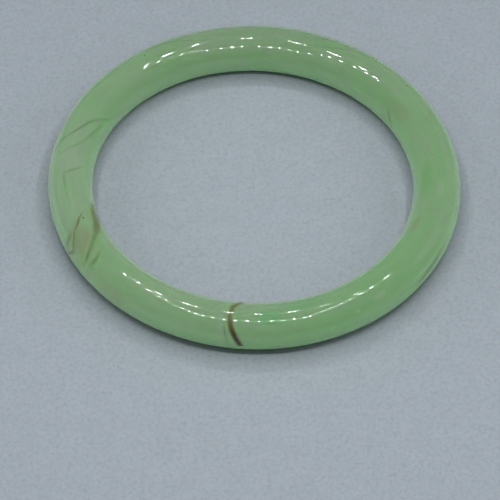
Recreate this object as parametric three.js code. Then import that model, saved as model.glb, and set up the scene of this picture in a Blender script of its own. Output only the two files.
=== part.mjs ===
// A solid jade bangle: one closed ring, ground and polished from a single piece of stone.
// It has no clasp, hinge or lining, so it is one sub-part.
//
// Millimetres, +Z up. The ring lies flat on z = 0, and its outside is round about the Z axis.

import * as THREE from 'three';

// Driving dimensions

const openingDiameter = 56.8; // the opening that the hand goes through
const wallThickness = 8.1; // from the opening to the outside, on average
const ringHeight = 7.9; // from the underside to the top
const restFlatWidth = 0.8; // the narrow polished flat that the ring lies on, the same on top
const openingShift = 0.42; // how far the opening was ground off the centre of the outside
const openingShiftAngle = 235; // the direction of that shift, in degrees from +X

// How finely the round surfaces are cut into facets

const stepsAround = 96;
const stepsPerHalfSection = 14;

// Sizes that follow from the driving dimensions

const openingRadius = openingDiameter / 2;
const crownRadius = openingRadius + wallThickness / 2;
const outerFlatEdge = crownRadius + restFlatWidth / 2;
const innerFlatEdge = crownRadius - restFlatWidth / 2;
const radialReach = (wallThickness - restFlatWidth) / 2;

// Half of the section, as the arc of an ellipse. In the section plane x is the distance from
// the axis of the ring, and y is the height.
function halfSection(centreRadius, startDegrees, endDegrees) {
  const curve = new THREE.EllipseCurve(
    centreRadius,
    ringHeight / 2,
    radialReach,
    ringHeight / 2,
    THREE.MathUtils.degToRad(startDegrees),
    THREE.MathUtils.degToRad(endDegrees),
  );
  return curve.getPoints(stepsPerHalfSection);
}

// The whole section: the outer half from the underside to the top, then the inner half back
// down. The short straight stretches between the two halves are the rest flats.
function ringSection() {
  const section = [...halfSection(outerFlatEdge, -90, 90), ...halfSection(innerFlatEdge, 90, 270)];
  section.push(section[0].clone());
  return section;
}

// Moves the opening sideways. The wall of the opening moves by the whole shift, the rest flats
// and the outside stay, and the rounding between them is drawn along in proportion.
function shiftOpening(geometry) {
  const angle = THREE.MathUtils.degToRad(openingShiftAngle);
  const shiftX = openingShift * Math.cos(angle);
  const shiftY = openingShift * Math.sin(angle);
  const positions = geometry.attributes.position;
  for (let i = 0; i < positions.count; i += 1) {
    const x = positions.getX(i);
    const y = positions.getY(i);
    const share = Math.max(0, (innerFlatEdge - Math.hypot(x, y)) / radialReach);
    positions.setX(i, x + shiftX * share);
    positions.setY(i, y + shiftY * share);
  }
}

function makeRing() {
  const geometry = new THREE.LatheGeometry(ringSection(), stepsAround);
  geometry.rotateX(Math.PI / 2); // the lathe turns about Y, and the ring stands about Z
  shiftOpening(geometry);
  geometry.computeVertexNormals();
  const jade = new THREE.MeshStandardMaterial({ color: 0x7ba07a, roughness: 0.08, metalness: 0 });
  const ring = new THREE.Mesh(geometry, jade);
  ring.name = 'bangle_ring';
  return ring;
}

const bangle = new THREE.Group();
bangle.name = 'bangle';
bangle.add(makeRing());

export default bangle;
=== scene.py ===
"""A solid jade bangle, lying on a felt cloth under a square frame of small lamps.

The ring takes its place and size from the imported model. Its section, its polish and the
colours and veins of the stone are settings in the sidebar panel.
"""

import math

import bpy
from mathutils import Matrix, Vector


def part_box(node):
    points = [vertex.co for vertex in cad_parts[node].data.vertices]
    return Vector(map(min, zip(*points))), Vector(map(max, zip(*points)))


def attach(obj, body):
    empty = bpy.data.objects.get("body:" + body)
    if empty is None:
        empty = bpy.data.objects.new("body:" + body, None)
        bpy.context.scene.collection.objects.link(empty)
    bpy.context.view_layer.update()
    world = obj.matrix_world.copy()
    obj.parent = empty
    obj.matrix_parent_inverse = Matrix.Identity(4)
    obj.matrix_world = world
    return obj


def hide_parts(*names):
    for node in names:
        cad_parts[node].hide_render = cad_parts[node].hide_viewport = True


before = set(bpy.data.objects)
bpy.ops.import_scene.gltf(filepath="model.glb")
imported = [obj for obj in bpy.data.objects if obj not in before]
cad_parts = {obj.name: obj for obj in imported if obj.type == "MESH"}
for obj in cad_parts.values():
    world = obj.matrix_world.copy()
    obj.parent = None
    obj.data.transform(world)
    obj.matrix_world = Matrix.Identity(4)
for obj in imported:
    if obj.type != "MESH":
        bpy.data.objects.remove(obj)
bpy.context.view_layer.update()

bl_info = {
    "name": "Jade Bangle",
    "version": (1, 0, 0),
    "blender": (4, 5, 0),
    "location": "3D View > Sidebar > Bangle",
    "description": "Models a polished jade bangle and the stage that it lies on",
    "category": "Object",
}

MM = 0.001
RING_NODE = "bangle_ring"
RING_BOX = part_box(RING_NODE)
RING_WIDTH = RING_BOX[1][0] - RING_BOX[0][0]
RING_HEIGHT = RING_BOX[1][2] - RING_BOX[0][2]


# ---------------------------------------------------------------- settings


def length(name, description, millimetres):
    return bpy.props.FloatProperty(
        name=name, description=description, default=millimetres * MM, precision=5, unit="LENGTH"
    )


def colour(name, description, red, green, blue):
    return bpy.props.FloatVectorProperty(
        name=name,
        description=description,
        default=(red, green, blue),
        size=3,
        min=0.0,
        max=1.0,
        subtype="COLOR",
    )


class BangleSizes(bpy.types.PropertyGroup):
    opening_diameter: length("Opening", "Width of the opening that the hand goes through", 56.8)
    rest_flat_width: length("Rest flat", "Width of the narrow flats under and on top of the ring", 0.8)
    opening_shift: length("Opening shift", "How far the opening is off the centre of the outside", 0.42)
    opening_shift_angle: bpy.props.FloatProperty(
        name="Shift direction",
        description="Direction of the opening's shift, from +X",
        default=math.radians(235),
        subtype="ANGLE",
    )
    polish_wave: length("Polish wave", "Height of the soft waves that hand polishing leaves", 0.055)


class BangleColours(bpy.types.PropertyGroup):
    pale: colour("Pale jade", "The green of most of the stone", 0.165, 0.378, 0.15)
    green: colour("Rich green", "The stronger green of the streaks", 0.118, 0.37, 0.11)
    emerald: colour("Emerald", "The bluish green beside the front vein", 0.08, 0.375, 0.105)
    seam: colour("Seam", "The greyer green of the stone right beside a vein", 0.20, 0.345, 0.18)
    milk: colour("Milk", "The whitish clouds in the stone", 0.215, 0.395, 0.198)
    vein: colour("Vein", "The dark brown of the front vein", 0.06, 0.048, 0.026)
    rust: colour("Rust", "The lighter brown of the other veins", 0.155, 0.135, 0.065)
    shade: colour("Grey vein", "The grey green of the thin veins", 0.135, 0.225, 0.12)
    cloud: colour("Haze", "The greyish brown haze around the veins", 0.165, 0.25, 0.115)
    felt: colour("Felt", "The cloth that the bangle lies on", 0.43, 0.492, 0.548)


# ---------------------------------------------------------------- modelling helpers


def deselect_all():
    bpy.ops.object.select_all(action="DESELECT")


def select_vertices(obj, wanted):
    """Selects the vertices whose place passes the test, from object mode."""
    mesh = obj.data
    mesh.polygons.foreach_set("select", [False] * len(mesh.polygons))
    mesh.edges.foreach_set("select", [False] * len(mesh.edges))
    mesh.vertices.foreach_set("select", [bool(wanted(v.co)) for v in mesh.vertices])


def apply_modifier(obj, modifier):
    bpy.context.view_layer.objects.active = obj
    bpy.ops.object.modifier_apply(modifier=modifier.name)


# ---------------------------------------------------------------- the ring

SECTION_POINTS = 96
STEPS_AROUND = 760
FLAT_CUTS = 3
FLAT_MARGIN = 1.2  # the search for the edges of the flats reaches this far, in half flats
WELD = 1e-7
INNER_HALF = "inner_half"
OUTSIDE_TOLERANCE = 0.02 * MM
BROAD_WAVELENGTH = 9 * MM
FINE_WAVELENGTH = 4 * MM
FINE_WAVE_DIVISOR = 6  # the fine waves are this many times lower than the broad ones


def section_outline(crown, reach, half_height, half_flat):
    """A circle pulled apart at its crown: two half ellipses with a short flat between them."""
    half_step = math.pi / SECTION_POINTS
    bpy.ops.mesh.primitive_circle_add(
        vertices=SECTION_POINTS,
        radius=reach / math.cos(half_step),
        fill_type="NOTHING",
        location=(crown, 0, half_height),
        rotation=(math.pi / 2, half_step, 0),
    )
    obj = bpy.context.active_object
    bpy.ops.object.transform_apply(location=True, rotation=True, scale=True)
    bpy.ops.object.mode_set(mode="EDIT")
    bpy.ops.mesh.select_all(action="SELECT")
    bpy.ops.transform.resize(value=(1, 1, half_height / reach), center_override=(crown, 0, half_height))
    for side in (-1, 1):
        bpy.ops.object.mode_set(mode="OBJECT")
        select_vertices(obj, lambda place: (place.x - crown) * side > 0)
        bpy.ops.object.mode_set(mode="EDIT")
        bpy.ops.transform.translate(value=(side * half_flat, 0, 0))
    bpy.ops.object.mode_set(mode="OBJECT")
    near_flat = half_flat * FLAT_MARGIN
    for height in (0, 2 * half_height):
        select_vertices(
            obj, lambda place: abs(place.x - crown) < near_flat and abs(place.z - height) < half_height / 2
        )
        bpy.ops.object.mode_set(mode="EDIT")
        bpy.ops.mesh.select_mode(type="EDGE")
        bpy.ops.mesh.select_mode(type="VERT")
        bpy.ops.mesh.subdivide(number_cuts=FLAT_CUTS)
        bpy.ops.object.mode_set(mode="OBJECT")
    return obj


def spin_round(obj):
    bpy.ops.object.mode_set(mode="EDIT")
    bpy.ops.mesh.select_all(action="SELECT")
    bpy.ops.mesh.spin(
        steps=STEPS_AROUND, angle=2 * math.pi, center=(0, 0, 0), axis=(0, 0, 1), use_auto_merge=True
    )
    bpy.ops.mesh.select_all(action="SELECT")
    bpy.ops.mesh.remove_doubles(threshold=WELD)
    bpy.ops.mesh.normals_make_consistent(inside=False)
    bpy.ops.object.mode_set(mode="OBJECT")


def shift_opening(obj, sizes, flat_edge, reach):
    """Draws the inner half of the ring sideways, most at the wall and not at all at the flats."""
    inner_half = obj.vertex_groups.new(name=INNER_HALF)
    for vertex in obj.data.vertices:
        share = (flat_edge - math.hypot(vertex.co.x, vertex.co.y)) / reach
        if share > 0:
            inner_half.add([vertex.index], min(share, 1.0), "REPLACE")
    # Applying a modifier replaces the groups, so from here on the group is only called by its name.
    angle = sizes.opening_shift_angle
    for direction, part in (("X", math.cos(angle)), ("Y", math.sin(angle))):
        shift = obj.modifiers.new("shift_" + direction.lower(), "DISPLACE")
        shift.direction = direction
        shift.mid_level = 0
        shift.strength = sizes.opening_shift * part
        shift.vertex_group = INNER_HALF
        apply_modifier(obj, shift)
    obj.vertex_groups.clear()


def check_outside(obj):
    """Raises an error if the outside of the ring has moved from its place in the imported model."""
    for axis in (0, 1):
        places = [vertex.co[axis] for vertex in obj.data.vertices]
        for end, wanted in ((min(places), -RING_WIDTH / 2), (max(places), RING_WIDTH / 2)):
            if abs(end - wanted) > OUTSIDE_TOLERANCE:
                raise RuntimeError(f"the outside is at {end / MM:.3f} mm instead of {wanted / MM:.3f} mm")


def polish_waves(obj, name, height, wavelength):
    """Soft unevenness left by hand polishing, as real shape."""
    clouds = bpy.data.textures.new(name, "CLOUDS")
    clouds.noise_scale = wavelength
    clouds.noise_depth = 0
    wave = obj.modifiers.new(name, "DISPLACE")
    wave.texture = clouds
    wave.texture_coords = "LOCAL"
    wave.direction = "NORMAL"
    wave.mid_level = 0.5
    wave.strength = height
    apply_modifier(obj, wave)


class BANGLE_OT_ring(bpy.types.Operator):
    """Models the stone ring and gives it its jade"""

    bl_idname = "bangle.ring"
    bl_label = "Make the ring"

    def execute(self, context):
        sizes = context.scene.bangle_sizes
        wall = (RING_WIDTH - sizes.opening_diameter) / 2
        half_flat = sizes.rest_flat_width / 2
        crown = RING_WIDTH / 2 - wall / 2
        reach = wall / 2 - half_flat
        deselect_all()
        ring = section_outline(crown, reach, RING_HEIGHT / 2, half_flat)
        ring.name = "jade_ring"
        spin_round(ring)
        shift_opening(ring, sizes, crown - half_flat, reach)
        check_outside(ring)
        polish_waves(ring, "broad_waves", sizes.polish_wave, BROAD_WAVELENGTH)
        polish_waves(ring, "fine_waves", sizes.polish_wave / FINE_WAVE_DIVISOR, FINE_WAVELENGTH)
        bpy.ops.object.shade_smooth()
        ring.data.materials.append(jade_material(context.scene.bangle_colours, crown, wall / 2))
        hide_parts(RING_NODE)
        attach(ring, "root")
        return {"FINISHED"}


# ---------------------------------------------------------------- node helpers


class Recipe:
    """Adds nodes to one material and wires them together."""

    def __init__(self, material):
        material.use_nodes = True
        self.tree = material.node_tree
        self.shader = self.tree.nodes["Principled BSDF"]

    def add(self, kind, inputs=None, **settings):
        node = self.tree.nodes.new(kind)
        for name, value in settings.items():
            setattr(node, name, value)
        for name, value in (inputs or {}).items():
            self.feed(node.inputs[name], value)
        return node

    def feed(self, socket, value):
        if isinstance(value, bpy.types.NodeSocket):
            self.tree.links.new(value, socket)
        elif isinstance(value, tuple) and len(value) == 3 and socket.type == "RGBA":
            socket.default_value = (*value, 1.0)
        else:
            socket.default_value = value

    def math(self, operation, *values):
        node = self.add("ShaderNodeMath", operation=operation)
        for socket, value in zip(node.inputs, values):
            self.feed(socket, value)
        return node.outputs[0]

    def plus(self, a, b):
        return self.math("ADD", a, b)

    def minus(self, a, b):
        return self.math("SUBTRACT", a, b)

    def times(self, a, b):
        return self.math("MULTIPLY", a, b)

    def fade(self, value, start, end, low=0.0, high=1.0, smooth=True):
        """Goes from low to high while the value goes from start to end."""
        kind = "SMOOTHSTEP" if smooth else "LINEAR"
        node = self.add("ShaderNodeMapRange", interpolation_type=kind)
        for name, part in (
            ("Value", value),
            ("From Min", start),
            ("From Max", end),
            ("To Min", low),
            ("To Max", high),
        ):
            self.feed(node.inputs[name], part)
        return node.outputs[0]

    def vector(self, x, y, z):
        node = self.add("ShaderNodeCombineXYZ")
        for socket, value in zip(node.inputs, (x, y, z)):
            self.feed(socket, value)
        return node.outputs[0]

    def noise(self, vector, w=0.0, scale=1.0, detail=2.0, roughness=0.5, distortion=0.0):
        node = self.add("ShaderNodeTexNoise", noise_dimensions="4D")
        for name, value in (
            ("Vector", vector),
            ("W", w),
            ("Scale", scale),
            ("Detail", detail),
            ("Roughness", roughness),
            ("Distortion", distortion),
        ):
            self.feed(node.inputs[name], value)
        return node.outputs["Fac"]

    def mix(self, factor, first, second):
        node = self.add("ShaderNodeMix", data_type="RGBA")
        # This node has a pair of sockets for each kind of value. The colours are 6 and 7, out at 2.
        self.feed(node.inputs["Factor"], factor)
        self.feed(node.inputs[6], first)
        self.feed(node.inputs[7], second)
        return node.outputs[2]

    def curve(self, value, points):
        """A smooth graph through the points, each an (input, output) pair from 0 to 1."""
        node = self.add("ShaderNodeFloatCurve")
        line = node.mapping.curves[0]
        for x, y in points[1:-1]:
            line.points.new(x, y)
        line.points[0].location = points[0]
        line.points[-1].location = points[-1]
        node.mapping.update()
        self.feed(node.inputs["Value"], value)
        return node.outputs[0]


# ---------------------------------------------------------------- the stone's pattern

# Places on the ring are in mm: the first number is the way along the ring from its front, towards
# +X, and the second is the way down from its crown, outwards, or inwards where it is negative.

WANDER = 0.7  # how far the pattern strays from its places, in mm
RAGGEDNESS = 0.9  # how much of a patch's radius its ragged edge takes

# How fine each grain of the stone is along the ring and across it, and the shape of its noise.
WOBBLE = {"lengthwise": 150.0, "across": 260.0, "detail": 1.0}
EDGES = {"lengthwise": 130.0, "across": 330.0, "detail": 3.0, "roughness": 0.6, "seed": 4.0}
STREAKS = {"lengthwise": 45.0, "across": 420.0, "detail": 4.0, "roughness": 0.55, "distortion": 0.5}
SWIRLS = {"lengthwise": 90.0, "across": 170.0, "detail": 3.0, "distortion": 1.2, "seed": 9.0}

# Where each of these sets in and where it is full, on its own scale, and how strong it is at either.
STREAK_COVER = (0.36, 0.66, 0.0, 0.5)
SWIRL_COVER = (0.50, 0.75, 0.0, 0.25)
SEAM_COVER = (0.0, 0.3)
BROWN_COVER = (0.0, 0.8)
DARK_COVER = (0.65, 1.0)

# How strong the specks and the bubbles are, and how much of their radius fades out.
SPECK_FINISH = (0.9, 0.5)
BUBBLE_FINISH = (0.8, 0.6)


class Pattern:
    """Paints veins and patches at places on the ring."""

    def __init__(self, recipe, crown, reach):
        self.recipe = recipe
        place = recipe.add("ShaderNodeTexCoord").outputs["Object"]
        self.x, self.y, z = recipe.add("ShaderNodeSeparateXYZ", inputs={"Vector": place}).outputs
        plane = recipe.plus(recipe.times(self.x, self.x), recipe.times(self.y, self.y))
        self.outward = recipe.minus(recipe.math("SQRT", plane), crown)
        self.upward = recipe.minus(z, RING_HEIGHT / 2)
        turn = recipe.math("ARCTAN2", self.x, recipe.times(self.y, -1.0))
        lean = recipe.math("ARCTAN2", self.outward, self.upward)
        wobble = self.grain(**WOBBLE)
        drift = recipe.times(recipe.minus(wobble, 0.5), WANDER)
        self.along = recipe.plus(recipe.times(turn, crown / MM), drift)
        self.down = recipe.plus(recipe.times(lean, reach / MM), drift)
        self.edges = self.grain(**EDGES)

    def grain(self, lengthwise, across, detail=3.0, roughness=0.5, distortion=0.0, seed=0.0):
        """Noise that is seamless round the ring, with its own fineness along it and across it."""
        recipe = self.recipe
        vector = recipe.vector(
            recipe.plus(recipe.times(self.x, lengthwise), seed),
            recipe.times(self.y, lengthwise),
            recipe.times(self.outward, across),
        )
        return recipe.noise(vector, recipe.times(self.upward, across), 1.0, detail, roughness, distortion)

    def vein(self, points, half_width, lengthwise=False):
        """The cover of a vein through the points, each (mm along, mm down, strength)."""
        recipe = self.recipe
        places = [(x if lengthwise else y, y if lengthwise else x, strength) for x, y, strength in points]
        runs, sideways = (self.along, self.down) if lengthwise else (self.down, self.along)
        start, end = places[0][0], places[-1][0]
        lowest = min(side for run, side, strength in places)
        spread = max(side for run, side, strength in places) - lowest
        share = recipe.fade(runs, start, end, smooth=False)
        steps = [(run - start) / (end - start) for run, side, strength in places]
        path = [(step, (side - lowest) / spread) for step, (run, side, strength) in zip(steps, places)]
        cover = [(step, strength) for step, (run, side, strength) in zip(steps, places)]
        centre = recipe.math("MULTIPLY_ADD", recipe.curve(share, path), spread, lowest)
        gap = recipe.math("ABSOLUTE", recipe.minus(sideways, centre))
        return recipe.times(recipe.fade(gap, half_width, 0.0), recipe.curve(share, cover))

    def patch(self, along, down, half_length, half_height, strength, soft=0.7):
        """The cover of a cloudy oval patch."""
        recipe = self.recipe
        across = recipe.math("DIVIDE", recipe.minus(self.along, along), half_length)
        below = recipe.math("DIVIDE", recipe.minus(self.down, down), half_height)
        ring = recipe.math("SQRT", recipe.plus(recipe.times(across, across), recipe.times(below, below)))
        ragged = recipe.plus(ring, recipe.times(recipe.minus(self.edges, 0.5), RAGGEDNESS))
        return recipe.fade(ragged, 1.0, 1.0 - soft, 0.0, strength)

    def cover_all(self, covers):
        """The strongest of the covers at each place."""
        total = covers[0]
        for cover in covers[1:]:
            total = self.recipe.math("MAXIMUM", total, cover)
        return total


FRONT_HALF_WIDTH = 0.85
FRONT_VEIN = (
    (-1.5, -3.0, 0.0),
    (-1.6, -2.2, 0.62),
    (-2.4, -1.2, 0.70),
    (-3.0, 0.0, 0.60),
    (-3.1, 1.5, 0.55),
    (-2.9, 3.0, 0.72),
    (-2.4, 4.5, 0.90),
    (-1.8, 5.8, 1.00),
    (-1.5, 6.6, 0.95),
    (-1.4, 7.1, 0.0),
)

# Each is its half width, whether it runs along the ring, and its points.
BROWN_VEINS = (
    (
        1.6,
        True,
        (
            (-42.0, -4.4, 0.0),
            (-40.5, -3.7, 0.55),
            (-38.5, -3.1, 0.75),
            (-36.5, -2.6, 0.60),
            (-34.5, -1.7, 0.55),
            (-33.0, -0.6, 0.38),
            (-31.5, 1.0, 0.30),
            (-30.2, 3.0, 0.34),
            (-29.6, 4.4, 0.0),
        ),
    ),
    (
        0.45,
        True,
        (
            (-39.5, -1.6, 0.0),
            (-38.4, -0.4, 0.30),
            (-37.4, 0.6, 0.70),
            (-36.4, 1.2, 0.85),
            (-35.6, 2.2, 0.55),
            (-34.4, 3.2, 0.50),
            (-33.4, 4.2, 0.55),
            (-32.9, 5.2, 0.0),
        ),
    ),
    (0.50, False, ((-33.1, 3.8, 0.0), (-33.1, 4.8, 0.45), (-33.8, 5.8, 0.40), (-34.6, 7.0, 0.0))),
    (0.75, False, ((-31.5, -0.2, 0.0), (-29.2, 1.2, 0.30), (-28.7, 2.6, 0.32), (-29.6, 4.2, 0.0))),
    (0.40, False, ((-35.8, 2.0, 0.0), (-35.4, 3.6, 0.35), (-35.0, 5.2, 0.35), (-34.9, 6.8, 0.0))),
    (
        0.90,
        True,
        (
            (27.0, 6.6, 0.0),
            (30.0, 5.8, 0.26),
            (33.5, 5.2, 0.30),
            (37.5, 4.8, 0.15),
            (41.0, 4.6, 0.0),
        ),
    ),
    (0.60, True, ((67.0, -6.6, 0.0), (68.3, -5.7, 0.60), (69.6, -4.8, 0.55), (71.0, -4.2, 0.0))),
    (0.25, True, ((60.5, -2.4, 0.0), (62.5, -0.6, 0.30), (64.5, 1.4, 0.34), (66.5, 2.6, 0.0))),
)
GREY_VEINS = (
    (
        0.48,
        True,
        (
            (-66.0, -5.2, 0.0),
            (-64.0, -3.9, 0.40),
            (-61.0, -1.5, 0.50),
            (-59.0, -0.4, 0.55),
            (-57.2, 1.0, 0.55),
            (-55.6, 2.6, 0.50),
            (-54.0, 3.8, 0.0),
        ),
    ),
    (
        0.48,
        True,
        (
            (-65.0, -4.4, 0.0),
            (-61.0, -3.4, 0.28),
            (-57.5, -2.3, 0.30),
            (-55.0, -0.8, 0.32),
            (-53.6, 1.0, 0.28),
            (-52.0, 2.6, 0.0),
        ),
    ),
    (0.50, False, ((-50.6, -3.0, 0.0), (-49.2, -1.4, 0.34), (-48.6, 0.0, 0.38), (-47.8, 1.4, 0.0))),
    (0.40, True, ((-49.0, 0.7, 0.0), (-47.0, 1.25, 0.40), (-44.0, 1.15, 0.25), (-40.0, 0.8, 0.0))),
    (
        0.16,
        False,
        (
            (-4.1, -1.0, 0.0),
            (-4.1, 1.2, 0.30),
            (-3.9, 3.6, 0.50),
            (-3.4, 6.0, 0.60),
            (-2.5, 7.6, 0.0),
        ),
    ),
    (0.16, False, ((-5.4, -2.6, 0.0), (-5.8, -0.8, 0.50), (-6.5, 0.5, 0.42), (-7.8, 2.0, 0.0))),
    (0.16, True, ((-33.0, 1.2, 0.0), (-29.0, 1.0, 0.22), (-25.0, 1.0, 0.22), (-21.0, 1.2, 0.0))),
    (
        0.20,
        True,
        (
            (50.5, -4.2, 0.0),
            (53.5, -3.2, 0.30),
            (56.5, -1.6, 0.40),
            (59.0, 0.3, 0.42),
            (61.0, 2.5, 0.38),
            (63.0, 5.0, 0.0),
        ),
    ),
    (0.22, True, ((38.5, 0.9, 0.0), (41.5, 0.9, 0.30), (43.8, 1.5, 0.34), (46.0, 2.6, 0.0))),
    (0.22, True, ((39.5, 2.2, 0.0), (41.5, 2.7, 0.30), (43.5, 3.4, 0.30), (45.5, 4.5, 0.0))),
    (0.16, True, ((32.0, 1.0, 0.0), (35.0, 1.15, 0.25), (38.0, 1.0, 0.25), (41.0, 0.7, 0.0))),
    (0.22, True, ((78.0, 3.0, 0.0), (84.0, 1.0, 0.40), (90.0, -1.0, 0.42), (97.0, -4.0, 0.0))),
    (0.25, True, ((-95.0, -2.0, 0.0), (-88.0, 0.5, 0.40), (-82.0, 2.2, 0.40), (-75.0, 5.0, 0.0))),
)

# Each is its place along and down, its half length and half height, and its strength.
HAZE = (
    (-33.0, 2.6, 4.8, 4.8, 0.85),
    (-36.5, -2.2, 4.0, 1.8, 0.80),
    (-34.0, 5.4, 2.2, 2.6, 0.65),
    (-22.6, 5.6, 3.2, 2.2, 0.75),
    (-27.0, 5.2, 9.0, 2.6, 0.40),
    (-13.0, -1.6, 6.0, 0.9, 0.35),
    (38.0, -2.1, 3.4, 1.0, 0.55),
    (33.5, 6.8, 6.5, 1.5, 0.55),
    (68.0, -3.0, 5.0, 2.0, 0.35),
)
MILKY = (
    (-48.0, 0.0, 22.0, 8.0, 0.45),
    (-51.0, 0.2, 4.6, 2.4, 0.55),
    (-40.0, 4.0, 5.0, 1.8, 0.40),
    (-4.3, 4.0, 1.1, 4.0, 0.45),
    (17.4, 3.6, 0.7, 0.5, 0.60),
    (21.8, 2.9, 1.6, 1.0, 0.50),
    (47.0, 0.4, 3.6, 1.2, 0.45),
    (36.0, 2.3, 9.0, 1.1, 0.40),
    (-14.0, 4.6, 8.0, 1.6, 0.30),
)
RICH_GREEN = (
    (24.0, 1.0, 21.0, 6.5, 0.50),
    (50.0, -2.2, 7.0, 1.6, 0.90),
    (24.0, -1.9, 20.0, 1.2, 0.85),
    (-50.0, -3.4, 8.0, 1.0, 0.60),
    (12.0, 4.2, 10.0, 3.0, 0.30),
    (56.0, 3.0, 6.0, 1.6, 0.45),
    (63.0, 1.6, 2.4, 1.6, 0.50),
    (-57.0, 2.6, 5.0, 1.4, 0.40),
    (90.0, 1.0, 8.0, 3.0, 0.50),
    (-84.0, -2.0, 7.0, 3.0, 0.50),
)
EMERALD = (
    (3.2, 1.2, 3.4, 2.0, 0.60),
    (9.0, -0.6, 7.0, 1.3, 0.50),
)
# Each is its place along and down, and its radius.
DARK_SPECKS = (
    (-37.4, -0.3, 0.22),
    (50.5, -0.1, 0.14),
    (55.2, -0.9, 0.14),
    (45.3, 3.3, 0.15),
    (72.0, 1.5, 0.25),
    (-80.0, 0.8, 0.25),
)
PALE_SPECKS = (
    (-54.8, 0.2, 0.32),
    (23.3, 3.9, 0.20),
    (25.5, 4.7, 0.20),
    (31.5, 3.9, 0.18),
    (1.2, 5.3, 0.18),
    (5.0, 4.4, 0.16),
    (12.6, 5.4, 0.18),
    (-9.2, 5.8, 0.18),
    (-44.0, 4.6, 0.20),
)


def paint_stone(pattern, colours):
    """The colour of the stone, and how much of it a vein covers."""
    recipe = pattern.recipe
    pale, green, emerald = tuple(colours.pale), tuple(colours.green), tuple(colours.emerald)
    streaks = pattern.grain(**STREAKS)
    swirls = pattern.grain(**SWIRLS)
    body = recipe.mix(recipe.fade(streaks, *STREAK_COVER), pale, green)
    body = recipe.mix(recipe.fade(swirls, *SWIRL_COVER), body, tuple(colours.milk))

    def spread(body, patches, colour):
        for patch in patches:
            body = recipe.mix(pattern.patch(*patch), body, colour)
        return body

    body = spread(body, RICH_GREEN, green)
    body = spread(body, EMERALD, emerald)
    body = spread(body, MILKY, tuple(colours.milk))
    body = spread(body, HAZE, tuple(colours.cloud))
    grey = pattern.cover_all([pattern.vein(points, width, run) for width, run, points in GREY_VEINS])
    brown = pattern.cover_all([pattern.vein(points, width, run) for width, run, points in BROWN_VEINS])
    front = pattern.vein(FRONT_VEIN, FRONT_HALF_WIDTH)
    specks = pattern.cover_all([pattern.patch(x, y, r, r, *SPECK_FINISH) for x, y, r in DARK_SPECKS])
    bubbles = pattern.cover_all([pattern.patch(x, y, r, r, *BUBBLE_FINISH) for x, y, r in PALE_SPECKS])
    body = recipe.mix(bubbles, body, tuple(colours.milk))
    dark = recipe.math("MAXIMUM", front, specks)
    cover = recipe.fade(pattern.cover_all([dark, brown, grey]), *SEAM_COVER)
    body = recipe.mix(cover, body, tuple(colours.seam))
    body = recipe.mix(grey, body, tuple(colours.shade))
    body = recipe.mix(brown, body, tuple(colours.rust))
    body = recipe.mix(recipe.fade(dark, *BROWN_COVER), body, tuple(colours.rust))
    body = recipe.mix(recipe.fade(dark, *DARK_COVER), body, tuple(colours.vein))
    return body, cover


# ---------------------------------------------------------------- materials

# How far red, green and blue light travel in the stone and in a vein, as shares of SCATTER_REACH.
LIGHT_REACH = (0.22, 1.0, 0.18)
VEIN_REACH = (0.02, 0.02, 0.02)
SCATTER_REACH = 28 * MM
FORWARD_SCATTER = 0.8
POLISH_ROUGHNESS = 0.015
STONE_IOR = 1.6
INNER_IOR = 1.4

# The seed, scale, detail, roughness and distortion of the felt's noises.
FELT_FIBRES = (0.0, 1400.0, 3.0, 0.7, 0.4)
FELT_MOTTLE = (2.0, 260.0, 2.0, 0.6)
FELT_TINT = (5.0, 1100.0, 2.0, 0.6)
FELT_DARK = 0.80
FELT_WARM = (1.03, 0.98, 0.97)
FELT_ROUGHNESS = 0.95
FIBRE_COVER = (0.26, 0.62)
MOTTLE_COVER = (0.3, 0.7, 0.0, 0.30)
TINT_COVER = (0.45, 0.65, 0.0, 0.55)


def jade_material(colours, crown, reach):
    material = bpy.data.materials.new("jade")
    recipe = Recipe(material)
    body, cover = paint_stone(Pattern(recipe, crown, reach), colours)
    shader = recipe.shader
    shader.subsurface_method = "RANDOM_WALK_SKIN"
    recipe.feed(shader.inputs["Base Color"], body)
    recipe.feed(shader.inputs["Subsurface Radius"], recipe.mix(cover, LIGHT_REACH, VEIN_REACH))
    for name, value in (
        ("Roughness", POLISH_ROUGHNESS),
        ("IOR", STONE_IOR),
        ("Subsurface Weight", 1.0),
        ("Subsurface Scale", SCATTER_REACH),
        ("Subsurface Anisotropy", FORWARD_SCATTER),
        ("Subsurface IOR", INNER_IOR),
    ):
        shader.inputs[name].default_value = value
    return material


def felt_material(colours):
    material = bpy.data.materials.new("felt")
    recipe = Recipe(material)
    place = recipe.add("ShaderNodeTexCoord").outputs["Object"]
    fibres = recipe.noise(place, *FELT_FIBRES)
    mottle = recipe.noise(place, *FELT_MOTTLE)
    tint = recipe.noise(place, *FELT_TINT)
    base = tuple(colours.felt)
    dark = tuple(FELT_DARK * part for part in base)
    warm = tuple(share * part for share, part in zip(FELT_WARM, base))
    cloth = recipe.mix(recipe.fade(fibres, *FIBRE_COVER), dark, base)
    cloth = recipe.mix(recipe.fade(mottle, *MOTTLE_COVER), cloth, dark)
    cloth = recipe.mix(recipe.fade(tint, *TINT_COVER), cloth, warm)
    recipe.feed(recipe.shader.inputs["Base Color"], cloth)
    recipe.shader.inputs["Roughness"].default_value = FELT_ROUGHNESS
    return material


# ---------------------------------------------------------------- the stage

FLOOR_HALF = 1.2
LAMP_HEIGHT = 260 * MM
CHIP_SIZE = 4.6 * MM
LAMP_BARS = (
    # name, centre x and y in mm, number of chips, their spacing in mm, whether it runs along X, power
    ("front_bar", 4, -100, 10, 17, True, 0.212),
    ("back_bar", -4, 115, 8, 16, True, 0.094),
    ("left_bar", -78, 8, 9, 24, False, 0.110),
    ("right_bar", 86, 8, 9, 24, False, 0.118),
)

CEILING_RISE = 20 * MM
CEILING_SIZE = 0.5
CEILING_POWER = 0.03

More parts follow.
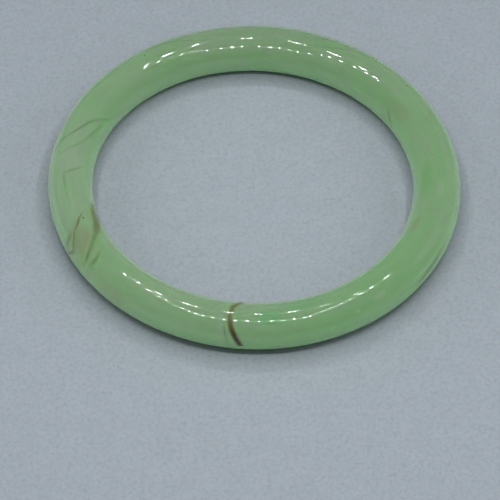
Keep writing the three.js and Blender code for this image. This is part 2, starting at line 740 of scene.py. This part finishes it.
QUARTER = math.pi / 2
SOFT_WALLS = (
    # name, place, width and depth in metres, power, turn
    ("left_wall", (-0.21, 0, 0.145), 0.18, 0.32, 0.205, (0, -QUARTER, 0)),
    ("right_wall", (0.21, 0, 0.145), 0.18, 0.32, 0.205, (0, QUARTER, 0)),
    ("front_wall", (0, -0.27, 0.10), 0.48, 0.14, 0.077, (QUARTER, 0, 0)),
)

CAMERA_DISTANCE = 480 * MM
CAMERA_ELEVATION = math.radians(49.5)
CAMERA_ROLL = math.radians(1.74)
CAMERA_LENS = 193.7
CAMERA_AIM = Vector((-0.41 * MM, -12.7 * MM, 0))
CAMERA_SENSOR = 36
CAMERA_NEAR = 0.01
CAMERA_FAR = 10

AIR_COLOUR = (0.80, 0.90, 1.0, 1.0)
AIR_STRENGTH = 0.02


def make_floor(colours):
    bpy.ops.mesh.primitive_plane_add(size=2 * FLOOR_HALF, location=(0, 0, 0))
    floor = bpy.context.active_object
    floor.name = "felt_cloth"
    floor.data.materials.append(felt_material(colours))


def add_lamp(name, place, width, depth, power):
    """A flat rectangular lamp, which shines down until it is turned."""
    lamp = bpy.data.lights.new(name, "AREA")
    lamp.shape = "RECTANGLE"
    lamp.size = width
    lamp.size_y = depth
    lamp.energy = power
    holder = bpy.data.objects.new(name, lamp)
    holder.location = place
    bpy.context.scene.collection.objects.link(holder)
    return holder


def make_lamp_bar(name, x, y, chips, spacing, along_x, power):
    """One bar of the lamp frame: a row of small bright chips, which the polish mirrors."""
    for number in range(chips):
        offset = (number - (chips - 1) / 2) * spacing
        column, row = (x + offset, y) if along_x else (x, y + offset)
        place = (column * MM, row * MM, LAMP_HEIGHT)
        add_lamp(f"{name}_chip_{number}", place, CHIP_SIZE, CHIP_SIZE, power / chips)


def make_soft_ceiling():
    """The white inside of the lamp housing, which lights everything a little."""
    place = (0, 0, LAMP_HEIGHT + CEILING_RISE)
    add_lamp("soft_ceiling", place, CEILING_SIZE, CEILING_SIZE, CEILING_POWER)


def make_soft_walls():
    """The white sides of the lamp housing, which soften the shadows around the ring."""
    for name, place, width, depth, power, turn in SOFT_WALLS:
        wall = add_lamp(name, place, width, depth, power)
        wall.rotation_euler = turn
        wall.visible_glossy = False


def make_camera():
    data = bpy.data.cameras.new("camera")
    data.lens = CAMERA_LENS
    data.sensor_width = CAMERA_SENSOR
    data.clip_start = CAMERA_NEAR
    data.clip_end = CAMERA_FAR
    camera = bpy.data.objects.new("camera", data)
    back = Vector((0, -math.cos(CAMERA_ELEVATION), math.sin(CAMERA_ELEVATION)))
    camera.location = back * CAMERA_DISTANCE
    look = CAMERA_AIM - camera.location
    turn = look.to_track_quat("-Z", "Y").to_matrix().to_4x4()
    camera.rotation_euler = turn.to_euler()
    camera.rotation_euler.rotate_axis("Z", CAMERA_ROLL)
    bpy.context.scene.collection.objects.link(camera)
    bpy.context.scene.camera = camera


def make_world():
    world = bpy.data.worlds.new("studio")
    world.use_nodes = True
    background = world.node_tree.nodes["Background"]
    background.inputs["Color"].default_value = AIR_COLOUR
    background.inputs["Strength"].default_value = AIR_STRENGTH
    bpy.context.scene.world = world


class BANGLE_OT_stage(bpy.types.Operator):
    """Lays the cloth and sets up the lamps and the camera"""

    bl_idname = "bangle.stage"
    bl_label = "Set the stage"

    def execute(self, context):
        deselect_all()
        make_floor(context.scene.bangle_colours)
        for bar in LAMP_BARS:
            make_lamp_bar(*bar)
        make_soft_ceiling()
        make_soft_walls()
        make_world()
        make_camera()
        context.scene.view_settings.view_transform = "Standard"
        return {"FINISHED"}


# ---------------------------------------------------------------- the panel


class BANGLE_PT_panel(bpy.types.Panel):
    bl_idname = "BANGLE_PT_panel"
    bl_label = "Bangle"
    bl_space_type = "VIEW_3D"
    bl_region_type = "UI"
    bl_category = "Bangle"

    def draw(self, context):
        layout = self.layout
        for group in (context.scene.bangle_sizes, context.scene.bangle_colours):
            box = layout.box()
            for name in group.bl_rna.properties.keys():
                if name not in ("rna_type", "name"):
                    box.prop(group, name)
        for operator in (BANGLE_OT_ring, BANGLE_OT_stage):
            layout.operator(operator.bl_idname)


CLASSES = (BangleSizes, BangleColours, BANGLE_OT_ring, BANGLE_OT_stage, BANGLE_PT_panel)


def register():
    for cls in CLASSES:
        bpy.utils.register_class(cls)
    bpy.types.Scene.bangle_sizes = bpy.props.PointerProperty(type=BangleSizes)
    bpy.types.Scene.bangle_colours = bpy.props.PointerProperty(type=BangleColours)


def unregister():
    del bpy.types.Scene.bangle_colours
    del bpy.types.Scene.bangle_sizes
    for cls in reversed(CLASSES):
        bpy.utils.unregister_class(cls)


def main():
    register()
    bpy.ops.bangle.stage()
    bpy.ops.bangle.ring()


if __name__ == "__main__":
    main()
